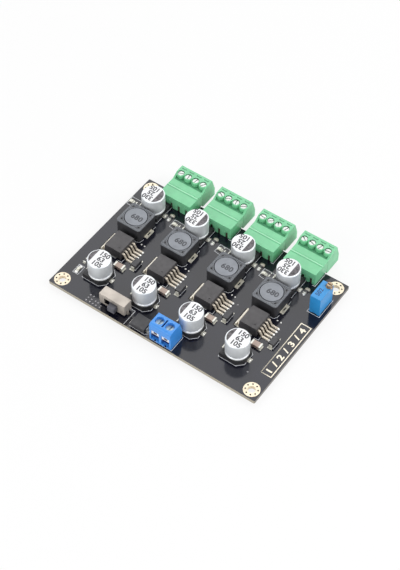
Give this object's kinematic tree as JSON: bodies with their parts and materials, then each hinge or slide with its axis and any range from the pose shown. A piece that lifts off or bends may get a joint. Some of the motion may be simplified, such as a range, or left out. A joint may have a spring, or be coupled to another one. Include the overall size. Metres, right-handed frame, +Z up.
{
  "type": "buck converter module",
  "caption": "Step-down converter board: rows of regulators, inductors and capacitors between an input screw terminal with a slide switch and pluggable output terminals.",
  "frame": {"origin": "centre of the four mounting holes on the board's underside", "axes": "+X along the input edge from the first channel to the fourth, +Y from the input edge to the output edge, +Z up out of the component side"},
  "size_m": [0.101, 0.0788, 0.0144],
  "materials": {
    "board_black": "black solder mask over glass fibre",
    "plated_gold": "plated ring, satin",
    "solder_tin": "reflowed solder",
    "can_aluminium": "drawn can, satin",
    "base_black": "moulded, matt",
    "lead_tin": "tin-plated",
    "ferrite_grey": "coated ferrite, matt",
    "core_grey": "ferrite, matt",
    "winding_copper": "enamelled wire",
    "mould_black": "moulded, matt",
    "ceramic_brown": "fired ceramic",
    "resistor_black": "glazed",
    "led_cream": "clear lens over a pale base",
    "terminal_green": "moulded, satin",
    "screw_nickel": "nickel-plated",
    "cage_brass": "plain brass",
    "cage_nickel": "nickel-plated",
    "shell_nickel": "pressed sheet, plated",
    "wafer_brown": "pressed board",
    "knob_slate": "moulded, matt",
    "terminal_blue": "moulded, satin",
    "trimmer_blue": "moulded, satin",
    "screw_brass": "turned brass"
  },
  "bodies": {
    "board": {"circuit_board": "board_black", "mounting_hole_plating": "plated_gold", "tinned_pads": "solder_tin", "input_capacitor_can_1": "can_aluminium", "input_capacitor_can_2": "can_aluminium", "input_capacitor_can_3": "can_aluminium", "input_capacitor_can_4": "can_aluminium", "output_capacitor_can_1": "can_aluminium", "output_capacitor_can_2": "can_aluminium", "output_capacitor_can_3": "can_aluminium", "output_capacitor_can_4": "can_aluminium", "capacitor_bases": "base_black", "capacitor_leads": "lead_tin", "inductor_shield_1": "ferrite_grey", "inductor_shield_2": "ferrite_grey", "inductor_shield_3": "ferrite_grey", "inductor_shield_4": "ferrite_grey", "inductor_cores": "core_grey", "inductor_windings": "winding_copper", "inductor_terminals": "lead_tin", "regulator_body_1": "mould_black", "regulator_body_2": "mould_black", "regulator_body_3": "mould_black", "regulator_body_4": "mould_black", "regulator_leadframes": "lead_tin", "diode_bodies": "mould_black", "diode_terminals": "lead_tin", "ceramic_capacitors": "ceramic_brown", "chip_resistors": "resistor_black", "light_emitting_diodes": "led_cream", "chip_terminations": "solder_tin", "header_housing_1": "terminal_green", "header_housing_2": "terminal_green", "header_housing_3": "terminal_green", "header_housing_4": "terminal_green", "header_pins": "lead_tin", "switch_shell": "shell_nickel", "switch_wafer": "wafer_brown", "switch_pins": "lead_tin", "input_terminal_housing": "terminal_blue", "input_terminal_screws": "screw_nickel", "input_terminal_cages": "cage_nickel", "input_terminal_pins": "lead_tin", "trimmer_housing": "trimmer_blue", "trimmer_pins": "lead_tin"},
    "plug_1": {"plug_housing_1": "terminal_green", "plug_screws_1": "screw_nickel", "plug_cages_1": "cage_brass"},
    "plug_2": {"plug_housing_2": "terminal_green", "plug_screws_2": "screw_nickel", "plug_cages_2": "cage_brass"},
    "plug_3": {"plug_housing_3": "terminal_green", "plug_screws_3": "screw_nickel", "plug_cages_3": "cage_brass"},
    "plug_4": {"plug_housing_4": "terminal_green", "plug_screws_4": "screw_nickel", "plug_cages_4": "cage_brass"},
    "switch_knob": {"switch_slider": "knob_slate"},
    "trimmer_adjuster": {"trimmer_screw": "screw_brass"}
  },
  "joints": [
    {"name": "plug_1_pull", "type": "slide", "parent": "board", "child": "plug_1", "axis": [0, 1, 0], "range_m": [0, 0.0095]},
    {"name": "plug_2_pull", "type": "slide", "parent": "board", "child": "plug_2", "axis": [0, 1, 0], "range_m": [0, 0.0095]},
    {"name": "plug_3_pull", "type": "slide", "parent": "board", "child": "plug_3", "axis": [0, 1, 0], "range_m": [0, 0.0095]},
    {"name": "plug_4_pull", "type": "slide", "parent": "board", "child": "plug_4", "axis": [0, 1, 0], "range_m": [0, 0.0095]},
    {"name": "switch_slide", "type": "slide", "parent": "board", "child": "switch_knob", "axis": [1, 0, 0], "range_m": [-0.0031, 0]},
    {"name": "trimmer_turn", "type": "hinge", "parent": "board", "child": "trimmer_adjuster", "pos_m": [0.04741, 0.02256, 0.01], "axis": [0, 0, 1], "continuous": true}
  ]
}
